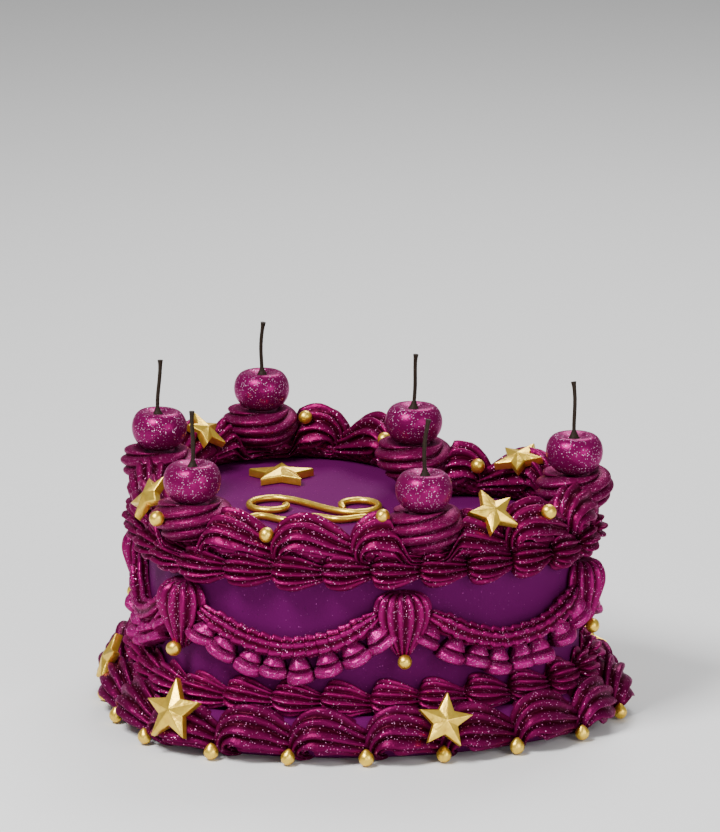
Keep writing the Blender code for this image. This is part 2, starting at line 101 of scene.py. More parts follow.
# Pendant from the top down: height, share of half width, depth
PENDANT_FORM = (
    (59.6, 0.14, 1.8), (58.8, 0.60, 6.0), (56.0, 0.94, 9.2), (51.0, 1.03, 10.2),
    (45.5, 0.86, 8.8), (40.6, 0.58, 7.0), (37.2, 0.34, 5.6), (35.0, 0.12, 3.2),
)

# Puff from the rope to the hem: share of length, share of half width, depth
PUFF_FORM = (
    (0.08, 0.24, 1.5), (0.22, 0.50, 4.4), (0.40, 0.80, 6.2), (0.53, 0.98, 6.8), (0.60, 1.02, 4.6),
    (0.66, 1.10, 5.6), (0.73, 1.20, 7.8), (0.90, 1.25, 8.2), (0.98, 1.22, 7.0), (1.02, 1.06, 2.4),
)

# Swirl up its side and into its dish: share of height, share of radius
SWIRL_FORM = (
    (0.00, 0.70), (0.12, 0.80), (0.32, 0.93), (0.55, 1.0), (0.78, 1.0),
    (0.96, 0.92), (1.08, 0.83), (1.13, 0.74), (1.08, 0.60), (0.98, 0.45), (0.96, 0.3),
)

# Stars: place, distance from the wall, height, tilt and spin in degrees, reach
STARS = (
    (1.509, -6.5, 84.6, -38.0, 20.0, 8.8),
    (1.892, 5.2, 84.4, 50.0, -14.0, 9.4),
    (0.435, 2.6, 85.6, 44.0, 12.0, 9.6),
    (0.834, -6.0, 85.0, -20.0, 30.0, 9.4),
    (0.012, 17.6, 16.4, 66.0, 6.0, 11.8),
    (0.347, 18.0, 15.8, 66.0, -10.0, 10.3),
    (1.790, 15.6, 17.0, 66.0, 14.0, 9.6),
    (0.780, 17.6, 13.8, 66.0, 2.0, 10.4),
    (1.330, 17.6, 13.8, 66.0, -16.0, 10.4),
)

# The star on the top disc: x, y, reach
DISC_STAR = (-51.0, 14.0, 12.6)
STAR_THICK, STAR_WAIST, STAR_TOP, STAR_SOFT = 4.6, 0.46, 0.52, 0.28
STAR_RINGS = ((-0.5, 1.0), (0.05, 1.0), (0.14, 0.97))

# Beads: place, distance from the wall, height
TOP_BEADS = (
    (0.116, 5.4, 80.4), (0.274, 3.4, 87.2), (0.518, 4.6, 83.0),
    (0.912, -3.2, 79.2), (1.126, -7.0, 81.0), (1.301, -6.5, 84.3), (1.560, 4.0, 82.0),
)
SWIRL_BEAD = (1.984, 13.8, 83.6)
BEAD_R, BEAD_SEAT, BEAD_PEAK = 2.65, 0.6, 0.7
FOOT_BEAD, PENDANT_BEAD = (16.6, 3.0), (6.6, 34.8)

# Gold flourish on the top disc: a long S with curled ends over a wavy line
FLOURISH_R = 1.25
FLOURISH_MID = (-14.0, -8.0)
CURL_AT, CURL_R, CURL_TURN = 15.0, 10.0, 5.2
WAVE_HALF, WAVE_Y, WAVE_TALL, WAVES = 24.0, -17.6, 3.2, 2.5

# Ridges round each kind of piping
STROKE_RIDGES, SHELL_RIDGES, PENDANT_RIDGES, ROPE_RIDGES = 11, 13, 16, 6

# Rows and columns of points in the meshes
STROKE_GRID = (50, 92)
BED_GRID = (240, 45)
PENDANT_GRID = (44, 66)
ROPE_GRID = (200, 36)
PUFF_GRID = (40, 26)
SWIRL_GRID = (84, 120)
CHERRY_GRID = (48, 72)
BEAD_GRID = (20, 28)
SHELL_COLUMNS = 64
BODY_COLUMNS = 480

# Viewing angle, distance and the point looked at
VIEW_AZ = math.radians(42.7)
VIEW_EL = math.radians(14.53)
VIEW_FAR = 2500.0
VIEW_AT = (-6.32, 23.48, 100.5)
VIEW_LENS = 299.7

# Lamps: metres to the right, towards the viewer and up, width, power
LAMPS = (
    ("key", -0.45, 0.45, 0.8, 0.35, 17.5),
    ("fill", 0.75, 0.85, 0.4, 0.6, 6.5),
    ("front", 0.15, 1.2, 0.1, 0.5, 3.0),
    ("rim", 0.2, -0.7, 0.8, 0.5, 8.0),
)


class CakeSettings(bpy.types.PropertyGroup):
    """Sizes and colours that may be changed"""
    ridge_depth: bpy.props.FloatProperty(
        name="Ridge depth", description="Depth of the piping's ridges, as a share of its radius",
        default=0.3, min=0.0, max=0.5, subtype="FACTOR")
    rough: bpy.props.FloatProperty(
        name="Unevenness", description="How far the icing strays from its true form",
        default=0.00022, min=0.0, max=0.001, unit="LENGTH")
    flake_size: bpy.props.FloatProperty(
        name="Glitter size", description="Width of one flake of glitter",
        default=0.00062, min=0.0002, max=0.003, unit="LENGTH")
    glitter: bpy.props.FloatProperty(
        name="Glitter", description="Share of the piped icing that carries a flake",
        default=0.2, min=0.0, max=1.0, subtype="FACTOR")
    cake_colour: bpy.props.FloatVectorProperty(
        name="Cake colour", description="Colour of the smooth icing", size=3,
        default=(0.09, 0.0018, 0.07), min=0.0, max=1.0, subtype="COLOR")
    piping_colour: bpy.props.FloatVectorProperty(
        name="Piping colour", description="Lighter colour of the piped borders", size=3,
        default=(0.175, 0.002, 0.07), min=0.0, max=1.0, subtype="COLOR")
    ruffle_colour: bpy.props.FloatVectorProperty(
        name="Ruffle colour", description="Lighter colour of the ruffles on the swags", size=3,
        default=(0.32, 0.007, 0.15), min=0.0, max=1.0, subtype="COLOR")
    gold_colour: bpy.props.FloatVectorProperty(
        name="Gold colour", description="Lighter colour of the gold decorations", size=3,
        default=(1.0, 0.74, 0.09), min=0.0, max=1.0, subtype="COLOR")
    seed: bpy.props.IntProperty(
        name="Seed", description="Seed of the small differences from piece to piece", default=7)


class Track:
    """A closed line round the cake at one distance from the wall, counted from the tip."""

    def __init__(self, offset, fillet):
        self.offset = offset
        # The flank's arc touches the lobe and the tip from outside
        near, far = FLANK_R - LOBE_R, FLANK_R - TIP_R
        span = math.hypot(LOBE_X, LOBE_Y - TIP_Y)
        along = (near ** 2 - far ** 2 + span ** 2) / (2.0 * span)
        across = math.sqrt(near ** 2 - along ** 2)
        ux, uy = -LOBE_X / span, (TIP_Y - LOBE_Y) / span
        fx, fy = min((LOBE_X + ux * along - side * uy * across,
                      LOBE_Y + uy * along + side * ux * across) for side in (1.0, -1.0))
        turn_tip = math.atan2(TIP_Y - fy, -fx)
        turn_lobe = math.atan2(LOBE_Y - fy, LOBE_X - fx)
        # The cleft's round touches both lobes
        reach = LOBE_R + offset
        cleft_y = LOBE_Y + math.sqrt((reach + fillet) ** 2 - LOBE_X ** 2)
        turn_cleft = math.atan2(cleft_y - LOBE_Y, -LOBE_X)
        # Each arc: centre x and y, radius, first and last angle
        self.arcs = (
            (0.0, TIP_Y, TIP_R + offset, -math.pi / 2.0, turn_tip),
            (fx, fy, FLANK_R + offset, turn_tip, turn_lobe),
            (LOBE_X, LOBE_Y, reach, turn_lobe, turn_cleft),
            (0.0, cleft_y, -fillet, turn_cleft - math.pi, -math.pi / 2.0),
        )
        lengths = [abs(arc[2] * (arc[4] - arc[3])) for arc in self.arcs]
        self.ends = np.cumsum(lengths)
        self.half = float(self.ends[-1])

    def place(self, way, out, z):
        """World points in metres for arrays of way (0 tip, 1 cleft), distance out and height."""
        way, out, z = np.broadcast_arrays(np.asarray(way, float), out, z)
        way = np.mod(way, 2.0)
        side = np.where(way > 1.0, -1.0, 1.0)
        left = np.where(way > 1.0, 2.0 - way, way) * self.half
        x, y = np.zeros(way.shape), np.zeros(way.shape)
        start = 0.0
        for (cx, cy, radius, first, last), end in zip(self.arcs, self.ends):
            angle = first + (last - first) * (left - start) / (end - start)
            sign = 1.0 if radius > 0.0 else -1.0
            reach = abs(radius) + sign * (out - self.offset)
            mine = (left >= start) & (left <= end + 1e-9)
            x = np.where(mine, cx + reach * np.cos(angle), x)
            y = np.where(mine, cy + reach * np.sin(angle), y)
            start = end
        return np.stack([side * x, y + SHIFT_Y, z], axis=-1) * MM

    def outward(self, way):
        """Unit direction away from the cake, at one place."""
        step = self.place(way, self.offset + 1.0, 0.0) - self.place(way, self.offset, 0.0)
        return step / np.linalg.norm(step)


def hang_track(way):
    """The wall line that a pendant follows, with a wider round for the one in the cleft."""
    return Track(0.0, CLEFT_R if way != 1.0 else PENDANT_FILLET)


WALL = Track(0.0, CLEFT_R)
SWIRL_MIDS = np.array([WALL.place(way, SWIRL_IN, 0.0)[:2] for way in SWIRL_AT]) / MM


def settings():
    """The sizes and colours that are set now."""
    return bpy.context.scene.iced_cake


def add_object(name, data):
    """A new object in the scene, at the origin."""
    item = bpy.data.objects.new(name, data)
    bpy.context.scene.collection.objects.link(item)
    return item


def settle(piece, nodes=()):
    """Fix a piece to the cake's root, and hide the solids that it stands for."""
    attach(piece, "root")
    if nodes:
        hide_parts(*nodes)


def numbered(name, count):
    """The name with each number from 1 up."""
    return ["%s_%d" % (name, k + 1) for k in range(count)]


def smooth_through(knots, rows):
    """Points along a smooth curve through the knots, one cubic piece for each span."""
    knots = np.asarray(knots, float)
    ends = np.vstack([2.0 * knots[0] - knots[1], knots, 2.0 * knots[-1] - knots[-2]])
    spans = len(knots) - 1
    at = np.linspace(0.0, spans, rows)
    k = np.minimum(at.astype(int), spans - 1)
    t = (at - k)[:, None]
    a, b, c, d = ends[k], ends[k + 1], ends[k + 2], ends[k + 3]
    return 0.5 * (2.0 * b + (c - a) * t + (2.0 * a - 5.0 * b + 4.0 * c - d) * t ** 2
                  + (3.0 * b - a - 3.0 * c + d) * t ** 3)


def crests(angle, count):
    """Section of a star nozzle: 1 on each crest, 0 in the valleys between."""
    return (0.5 + 0.5 * np.cos(count * angle)) ** 1.15


def round_angles(count):
    """Angles once round, as a row."""
    return np.linspace(0.0, 2.0 * np.pi, count, endpoint=False)[None, :]


def turned(radius, angle, z, mid):
    """World points of a form turned about an upright line at mid."""
    form = np.broadcast_arrays(radius * np.cos(angle), radius * np.sin(angle), z)
    return np.stack(form, axis=-1) * MM + mid


def waver(points, size, scale, seed):
    """Small smooth unevenness added to points in metres."""
    rng = np.random.default_rng(seed)
    shift = np.zeros(points.shape)
    for _ in range(5):
        wave = rng.normal(size=3)
        wave *= rng.uniform(0.6, 1.8) / scale / np.linalg.norm(wave)
        push = rng.normal(size=3)
        push /= np.linalg.norm(push)
        shift += np.sin(points @ wave + rng.uniform(0.0, 6.28))[..., None] * push
    return points + shift * size * 0.6


class Sheets:
    """Grids of points that become the faces of one mesh, each point with a crest value; low values
    get painted shade in the icing.
    """

    def __init__(self):
        self.verts, self.crest, self.faces, self.total = [], [], [], 0

    def add(self, points, crest):
        """Points in metres, not yet joined."""
        self.verts.append(points)
        self.crest.append(np.broadcast_to(crest, len(points)))
        self.total += len(points)

    def grid(self, points, crest=1.0, closed=False):
        """Rows of points, joined around each row, and either capped or joined end to end."""
        rows, cols = points.shape[:2]
        base = self.total
        self.add(points.reshape(-1, 3), np.broadcast_to(crest, (rows, cols)).reshape(-1))
        r = np.arange(rows if closed else rows - 1)[:, None]
        c = np.arange(cols)[None, :]
        r2, c2 = (r + 1) % rows, (c + 1) % cols
        quads = np.stack([r * cols + c, r * cols + c2, r2 * cols + c2, r2 * cols + c], axis=-1)
        self.faces += (quads.reshape(-1, 4) + base).tolist()
        for row in () if closed else (0, rows - 1):
            ring = base + row * cols
            self.faces += [[ring + k, ring + (k + 1) % cols, self.total] for k in range(cols)]
            self.add(points[row].mean(axis=0)[None], 0.5)

    def build(self, name, finish):
        """The mesh as an object with its finish."""
        mesh = bpy.data.meshes.new(name)
        mesh.from_pydata(np.concatenate(self.verts).tolist(), [], self.faces)
        # The crest values go to the icing, where low ones darken it with painted shade.
        value = mesh.attributes.new("crest", "FLOAT", "POINT")
        value.data.foreach_set("value", np.concatenate(self.crest).astype(np.float32))
        edit = bmesh.new()
        edit.from_mesh(mesh)
        bmesh.ops.recalc_face_normals(edit, faces=edit.faces)
        edit.to_mesh(mesh)
        edit.free()
        mesh.shade_smooth()
        mesh.materials.append(material(finish))
        return add_object(name, mesh)


# Finishes


class Finish(NamedTuple):
    """Colours, glitter and lustre of one icing: painted shade for its valleys and creases, the deep
    and pale ends of its own tone, and its flakes; pale may be the name of a colour setting.
    """
    valley_painted_shade: tuple
    deep: tuple
    pale: object
    flake: tuple
    glint: tuple
    glitter: float = 1.0
    size: float = 1.0
    rough: float = 0.38
    bump: float = 0.7
    pearl: float = 0.55
    shine: float = 0.12


# Each finish gives its painted shade colour for the valleys and creases, the deep and pale ends of
# its own tone, and its dull and bright flake colours, then glitter, size and lustre.
FINISHES = {
    "glitter_piping": Finish(
        (0.036, 0.0004, 0.007), (0.098, 0.0006, 0.024), "piping_colour",
        (0.38, 0.05, 0.2), (0.65, 0.28, 0.5), glitter=1.15),
    # A lighter copy of the piping for the lower shells: painted light against the shade of the
    # swags above them.
    "lower_piping": Finish(
        (0.065, 0.0008, 0.018), (0.14, 0.0012, 0.042), (0.24, 0.0036, 0.1),
        (0.38, 0.05, 0.2), (0.65, 0.28, 0.5)),
    # A darker copy of the piping for the foot arches: painted shade low on the cake.
    "foot_piping": Finish(
        (0.028, 0.0003, 0.005), (0.066, 0.0004, 0.016), (0.13, 0.0018, 0.058),
        (0.34, 0.05, 0.19), (0.55, 0.22, 0.42), pearl=0.5),
    "smooth_icing": Finish(
        (0.08, 0.001, 0.06), (0.082, 0.0014, 0.063), "cake_colour",
        (0.1, 0.008, 0.08), (0.19, 0.028, 0.15),
        glitter=0.4, rough=0.75, bump=0.15, pearl=0.0),
    "satin_swirl": Finish(
        (0.024, 0.0003, 0.005), (0.088, 0.001, 0.027), (0.145, 0.0026, 0.056),
        (0.24, 0.03, 0.13), (0.5, 0.2, 0.36),
        glitter=1.5, size=0.62, rough=0.4, bump=0.4, pearl=0.5),
    "satin_rope": Finish(
        (0.045, 0.0005, 0.01), (0.15, 0.0014, 0.05), (0.25, 0.004, 0.11),
        (0.4, 0.06, 0.24), (0.7, 0.34, 0.56), size=0.85, rough=0.34, pearl=0.6),
    "satin_ruffle": Finish(
        (0.06, 0.0008, 0.018), (0.21, 0.003, 0.082), "ruffle_colour",
        (0.36, 0.05, 0.22), (0.7, 0.34, 0.56),
        glitter=1.8, size=0.62, rough=0.34, bump=0.8, pearl=0.6),
    "cherry_skin": Finish(
        (0.08, 0.001, 0.03), (0.135, 0.0012, 0.05), (0.185, 0.0024, 0.08),
        (0.38, 0.13, 0.28), (0.62, 0.36, 0.52),
        glitter=2.1, size=0.95, rough=0.3, bump=0.3, pearl=0.5, shine=0.16),
}


def feed(tree, target, inputs):
    """Give a node's inputs their values, or link other nodes to them."""
    for key, value in inputs.items():
        socket = target.inputs[key]
        if isinstance(value, bpy.types.NodeSocket):
            tree.links.new(value, socket)
        elif socket.type == "RGBA":
            socket.default_value = (*value, 1.0)
        else:
            socket.default_value = value


def node(tree, kind, inputs=None, **values):
    """A new node with its settings and inputs."""
    made = tree.nodes.new(kind)
    for key, value in values.items():
        setattr(made, key, value)
    feed(tree, made, inputs or {})
    return made


def maths(tree, operation, *terms, kind="ShaderNodeMath"):
    """The result of one operation on numbers or on vectors."""
    return node(tree, kind, dict(enumerate(terms)), operation=operation).outputs[0]


def once(blocks, name, make):
    """The item of that name, made when it is first asked for."""
    return blocks.get(name) or make(name)


def start_group(name, kind, takes, gives):
    """A new node group with its named inputs and outputs."""
    group = bpy.data.node_groups.new(name, kind)
    for side, sockets in (("INPUT", takes), ("OUTPUT", gives)):
        for title, form, *value in sockets:
            item = group.interface.new_socket(name=title, in_out=side,
                                              socket_type="NodeSocket" + form)
            if value:
                item.default_value = value[0]
    return group, node(group, "NodeGroupInput").outputs


def glitter_group(name):
    """Flakes of glitter: a mask, each flake's own shade, and each flake's own tilt."""
    group, given = start_group(
        name, "ShaderNodeTree",
        (("Size", "Float", 0.00065), ("Share", "Float", 0.15),
         ("Tilt", "Float", 0.7), ("Flake", "Float", 0.34)),
        (("Mask", "Float"), ("Shade", "Float"), ("Normal", "Vector")))
    vector = "ShaderNodeVectorMath"
    place = node(group, "ShaderNodeTexCoord").outputs["Object"]
    rate = maths(group, "DIVIDE", 1.0, given["Size"])
    cells = node(group, "ShaderNodeTexVoronoi", {"Vector": place, "Scale": rate}).outputs
    split = node(group, "ShaderNodeSeparateColor", {0: cells["Color"]}).outputs
    chosen = maths(group, "LESS_THAN", split[0], given["Share"])
    disc = maths(group, "LESS_THAN", cells["Distance"], given["Flake"])
    mask = maths(group, "MULTIPLY", chosen, disc)
    lie = node(group, "ShaderNodeTexWhiteNoise", {"Vector": cells["Position"]}).outputs["Color"]
    centred = maths(group, "SUBTRACT", lie, (0.5, 0.5, 0.5), kind=vector)
    amount = maths(group, "MULTIPLY", mask, given["Tilt"])
    sized = node(group, vector, {0: centred, "Scale": amount}, operation="SCALE").outputs[0]
    face = node(group, "ShaderNodeNewGeometry").outputs["Normal"]
    tipped = maths(group, "ADD", face, sized, kind=vector)
    unit = maths(group, "NORMALIZE", tipped, kind=vector)
    node(group, "NodeGroupOutput", {"Mask": mask, "Shade": split[1], "Normal": unit})
    return group


def grain_group(name):
    """Fine grain of icing: a height for bump and a slow change of tone."""
    group, given = start_group(name, "ShaderNodeTree", (("Grain", "Float", 0.0012),),
                               (("Height", "Float"), ("Tone", "Float")))
    place = node(group, "ShaderNodeTexCoord").outputs["Object"]
    rate = maths(group, "DIVIDE", 1.0, given["Grain"])
    fine = node(group, "ShaderNodeTexNoise", {"Vector": place, "Scale": rate, "Detail": 4.0})
    slow = node(group, "ShaderNodeTexNoise", {"Vector": place, "Scale": 60.0, "Detail": 3.0})
    node(group, "NodeGroupOutput", {"Height": fine.outputs["Fac"], "Tone": slow.outputs["Fac"]})
    return group


def start_material(name):
    """A new material, its nodes and its shader."""
    mat = bpy.data.materials.new(name)
    mat.use_nodes = True
    return mat, mat.node_tree, mat.node_tree.nodes["Principled BSDF"]


def grained(tree, **inputs):
    """The outputs of the icing's grain."""
    group = once(bpy.data.node_groups, "Icing grain", grain_group)
    return node(tree, "ShaderNodeGroup", inputs, node_tree=group).outputs


def mix_colour(tree, factor, low, high):
    """A blend of two colours, each given as a value or as another node's output."""
    return node(tree, "ShaderNodeMix", {0: factor, 6: low, 7: high}, data_type="RGBA").outputs[2]


def icing(name):
    """Icing with painted shade in its valleys, grain and glitter; pearl is its share of metallic
    lustre.
    """
    mat, tree, shader = start_material(name)
    finish = FINISHES[name]
    pale = finish.pale
    if isinstance(pale, str):
        pale = tuple(getattr(settings(), pale))
    grain = grained(tree)
    flake = node(tree, "ShaderNodeGroup",
                 {"Share": settings().glitter * finish.glitter,
                  "Size": settings().flake_size * finish.size},
                 node_tree=once(bpy.data.node_groups, "Glitter flakes", glitter_group)).outputs
    # Painted shade: low crest values blend the colour into the dark groove colour in grooves,
    # creases and tucked-in places.
    crest = node(tree, "ShaderNodeAttribute", attribute_name="crest")
    painted_shade_ramp = node(tree, "ShaderNodeMapRange",
                  {"Value": crest.outputs["Fac"], "From Min": 0.05, "From Max": 0.7},
                  interpolation_type="SMOOTHSTEP")
    ridge = mix_colour(tree, grain["Tone"], finish.deep, pale)
    base = mix_colour(tree, painted_shade_ramp.outputs["Result"], finish.valley_painted_shade, ridge)
    spark = mix_colour(tree, flake["Shade"], finish.flake, finish.glint)
    bumped = node(tree, "ShaderNodeBump", {"Strength": finish.bump, "Distance": 0.0003,
                                           "Height": grain["Height"], "Normal": flake["Normal"]})
    metal = node(tree, "ShaderNodeMapRange",
                 {"Value": flake["Mask"], "To Min": finish.pearl, "To Max": 0.55})
    dull = node(tree, "ShaderNodeMapRange",
                {"Value": flake["Mask"], "To Min": finish.rough, "To Max": 0.28})
    feed(tree, shader, {
        "Base Color": mix_colour(tree, flake["Mask"], base, spark),
        "Normal": bumped.outputs["Normal"], "Metallic": metal.outputs["Result"],
        "Roughness": dull.outputs["Result"], "Specular IOR Level": finish.shine,
        "Specular Tint": (1.0, 0.3, 0.7)})
    return mat


def gold_material(name):
    """Satin gold with a faint change of tone."""
    mat, tree, shader = start_material(name)
    height = grained(tree, Grain=0.0025)["Height"]
    bumped = node(tree, "ShaderNodeBump", {"Strength": 0.4, "Distance": 0.0006, "Height": height})
    feed(tree, shader, {
        "Base Color": mix_colour(tree, height, (0.66, 0.36, 0.045), tuple(settings().gold_colour)),
        "Normal": bumped.outputs["Normal"], "Metallic": 0.9, "Roughness": 0.34,
        "Specular IOR Level": 0.2})
    return mat


def stem_material(name):
    """Dark dried stem."""
    mat, tree, shader = start_material(name)
    height = grained(tree)["Height"]
    bumped = node(tree, "ShaderNodeBump", {"Distance": 0.0003, "Height": height})
    feed(tree, shader, {
        "Base Color": mix_colour(tree, height, (0.008, 0.005, 0.003), (0.026, 0.015, 0.008)),
        "Normal": bumped.outputs["Normal"], "Roughness": 0.6, "Specular IOR Level": 0.15})
    return mat


def material(name):
    """The finish of that name."""
    makers = {"satin_gold": gold_material, "dried_stem": stem_material}
    return once(bpy.data.materials, name, makers.get(name, icing))


# Cords and beads


def end_mesh(group, shape, given):
    """Make a group's shape real, give it its material and put it out."""
    solid = node(group, "GeometryNodeRealizeInstances", {"Geometry": shape})
    paint = node(group, "GeometryNodeSetMaterial",
                 {"Geometry": solid.outputs["Geometry"], "Material": given["Material"]})
    node(group, "NodeGroupOutput", {"Geometry": paint.outputs["Geometry"]})
    return group


def cord_group(name):
    """A round cord along each path, as thick as the path says."""
    group, given = start_group(
        name, "GeometryNodeTree",
        (("Geometry", "Geometry"), ("Sides", "Int", 16), ("Material", "Material")),
        (("Geometry", "Geometry"),))
    circle = node(group, "GeometryNodeCurvePrimitiveCircle",
                  {"Resolution": given["Sides"], "Radius": 1.0})
    radius = node(group, "GeometryNodeInputRadius")
    sweep = node(group, "GeometryNodeCurveToMesh",
                 {"Curve": given["Geometry"], "Profile Curve": circle.outputs["Curve"],
                  "Scale": radius.outputs[0], "Fill Caps": True})
    return end_mesh(group, sweep.outputs["Mesh"], given)


def bead_group(name):
    """One bead on each point, each a little different in size and turn."""
    group, given = start_group(
        name, "GeometryNodeTree",
        (("Geometry", "Geometry"), ("Bead", "Object"), ("Least size", "Float", 0.92),
         ("Most size", "Float", 1.04), ("Seed", "Int", 3), ("Material", "Material")),
        (("Geometry", "Geometry"),))
    item = node(group, "GeometryNodeObjectInfo", {"Object": given["Bead"]})
    size = node(group, "FunctionNodeRandomValue",
                {2: given["Least size"], 3: given["Most size"], "Seed": given["Seed"]},
                data_type="FLOAT")
    turn = node(group, "FunctionNodeRandomValue",
                {0: (-0.2, -0.2, 0.0), 1: (0.2, 0.2, 6.28), "Seed": given["Seed"]},
                data_type="FLOAT_VECTOR")
    spots = node(group, "GeometryNodeInstanceOnPoints",
                 {"Points": given["Geometry"], "Instance": item.outputs["Geometry"],
                  "Scale": size.outputs[1], "Rotation": turn.outputs[0]})
    return end_mesh(group, spots.outputs["Instances"], given)


def grow(source, group, values, name):
    """Run a node group on an object and keep its result as one plain mesh object."""
    modifier = source.modifiers.new("nodes", "NODES")
    modifier.node_group = group
    for item in group.interface.items_tree:
        if item.item_type == "SOCKET" and item.in_out == "INPUT" and item.name in values:
            modifier[item.identifier] = values[item.name]
    bpy.context.view_layer.update()
    graph = bpy.context.evaluated_depsgraph_get()
    mesh = bpy.data.meshes.new_from_object(source.evaluated_get(graph))
    source.modifiers.remove(modifier)
    bpy.data.objects.remove(source, do_unlink=True)
    mesh.name = name
    mesh.shade_smooth()
    return add_object(name, mesh)


def cords(name, lines, finish):
    """Cords along lines of (x, y, z, radius), all in millimetres."""
    curve = bpy.data.curves.new(name + "_paths", "CURVE")
    curve.dimensions = "3D"
    for line in lines:
        spline = curve.splines.new("POLY")
        spline.points.add(len(line) - 1)
        for point, (x, y, z, radius) in zip(spline.points, line):
            point.co = (x * MM, y * MM, z * MM, 1.0)
            point.radius = radius * MM
    source = add_object(name + "_paths", curve)
    group = once(bpy.data.node_groups, "Round cord", cord_group)
    return grow(source, group, {"Sides": 16, "Material": material(finish)}, name)


# Piped icing


def under_swirls(points):
    """Press the upper arches low where a swirl sits on them, and blend that into the rest."""
    fitted = points.copy()
    x, y, z = (fitted[..., k] / MM for k in range(3))
    near = np.full(x.shape, 1e9)
    for mid_x, mid_y in SWIRL_MIDS:
        near = np.minimum(near, np.hypot(x - mid_x, y - mid_y))
    share = np.clip((near - SEAT_R) / SEAT_BLEND, 0.0, 1.0)
    share = share * share * (3.0 - 2.0 * share)
    tall = SEAT_TALL + (1.0 - SEAT_TALL) * share
    fitted[..., 2] = (BODY_H + 0.1 + (z - BODY_H) * tall) * MM
    return fitted


def on_floor(points):
    """Keep the foot arches above the floor."""
    fitted = points.copy()
    fitted[..., 2] = np.maximum(fitted[..., 2], 0.02 * MM)
    return fitted


def stroke(sheets, track, start, knots, base_z, fit, seed):
    """One ridged stroke of icing that curls up, over and down along the border."""
    rng = np.random.default_rng(seed)
    line = smooth_through(knots, STROKE_GRID[0])
    line[:, 0] += rng.normal(0.0, 0.3)
    line[:, 1] *= 1.0 + rng.normal(0.0, 0.025)
    line[:, 2:4] *= 1.0 + rng.normal(0.0, 0.02)
    run, rise = np.gradient(line[:, 0]), np.gradient(line[:, 1])
    size = np.hypot(run, rise)
    angle = round_angles(STROKE_GRID[1])
    twist = np.linspace(0.25, -0.25, len(line))[:, None] + rng.normal(0.0, 0.05)
    crest = crests(angle + twist, STROKE_RIDGES)
    ridge = 1.02 - settings().ridge_depth * (1.0 - crest)
    off = line[:, 2:3] * ridge * np.cos(angle)
    out = track.offset + line[:, 4:5] + line[:, 3:4] * ridge * np.sin(angle)
    along = line[:, 0:1] - (rise / size)[:, None] * off
    droop = 0.04 * (out - track.offset) ** 2 * np.clip(line[:, 1:2] / 12.0, 0.0, 1.0)
    z = base_z + line[:, 1:2] + (run / size)[:, None] * off - droop
    points = track.place(start + along / track.half, out, z)
    points = waver(points, size=settings().rough, scale=0.004, seed=seed)
    points = waver(points, size=0.00015, scale=0.0013, seed=seed + 1)
    # Painted shade: the crest values make the valleys between the ridges dark in the icing.
    sheets.grid(fit(points), crest)


def bed(sheets, middle, half, base_z, tall, ridges):
    """A low run of icing that closes the hollows under the arches."""
    track = Track(middle, ARCH_FILLET)
    way = np.linspace(0.0, 2.0, BED_GRID[0], endpoint=False)[:, None]
    angle = round_angles(BED_GRID[1])
    crest = crests(angle + 9.0 * np.pi * way, ridges) if ridges else np.ones(angle.shape)
    reach = 0.84 + 0.16 * crest
    out = middle + half * reach * np.cos(angle)
    z = base_z + 0.5 * tall * (1.0 + reach * np.sin(angle)) + 0.05
    # Painted shade: the crest values darken the grooves of the ridged bed; the smooth bed stays
    # unshaded.
    sheets.grid(track.place(way, out, z), crest, closed=True)


def shell_row(name, mid_z, sag, finish):
    """A closed row of piped shells, each with a full head and a tail under the next head."""
    sheets = Sheets()
    track = Track(SHELL_MID, SHELL_FILLET)
    rows = np.array([0.0, 0.015, 0.035, 0.06, 0.09, 0.13, 0.18, 0.25, 0.33, 0.42, 0.51, 0.6, 0.69,
                     0.77, 0.85, 0.93])
    size = np.interp(rows, [0.0, 0.015, 0.06, 0.13, 0.22, 0.35, 0.5, 0.75, 1.0],
                     [0.5, 0.74, 0.94, 1.05, 1.1, 1.08, 0.97, 0.68, 0.42])
    angle = np.radians(np.linspace(-86.0, 86.0, SHELL_COLUMNS))
    crest = crests(angle - np.radians(5.0), SHELL_RIDGES)
    ridge = 1.04 - settings().ridge_depth * 0.95 * (1.0 - crest)
    grid, tone = [], []
    for shell in range(SHELLS):
        rng = np.random.default_rng(100 + shell + int(mid_z))
        fat = 1.0 + rng.normal(0.0, 0.025)
        shift = rng.normal(0.0, 0.01)
        tilt = sag + rng.normal(0.0, 0.3)
        for share, scale in zip(rows, size):
            arc = scale * fat * ridge
            out = 0.4 + SHELL_REACH * arc * np.cos(angle)
            z = mid_z + SHELL_HALF * arc * np.sin(angle) - tilt * share
            back = -2.2 * np.cos(angle) * (1.0 - share) ** 2
            at = 2.0 * (shell + share + shift) / SHELLS
            # Two points in the wall close the row behind the shell
            out = np.concatenate([out, [0.3, 0.3]])
            edge = SHELL_HALF * scale * 0.9
            z = np.concatenate([z, [mid_z - tilt * share + edge, mid_z - tilt * share - edge]])
            way = np.concatenate([at + back / track.half, [at, at]])
            grid.append(track.place(way, out, z))
            # Painted shade: dark crest values in the valleys, on the tucked start of each shell and
            # on the two points in the wall.
            tone.append(np.append(crest * min(1.0, 0.15 + 12.0 * share), [0.0, 0.0]))
    points = waver(np.array(grid), size=settings().rough, scale=0.005, seed=int(mid_z))
    points = waver(points, size=0.00013, scale=0.0013, seed=int(mid_z) + 1)
    sheets.grid(points, np.array(tone), closed=True)
    settle(sheets.build(name + "_piping", finish), [name])


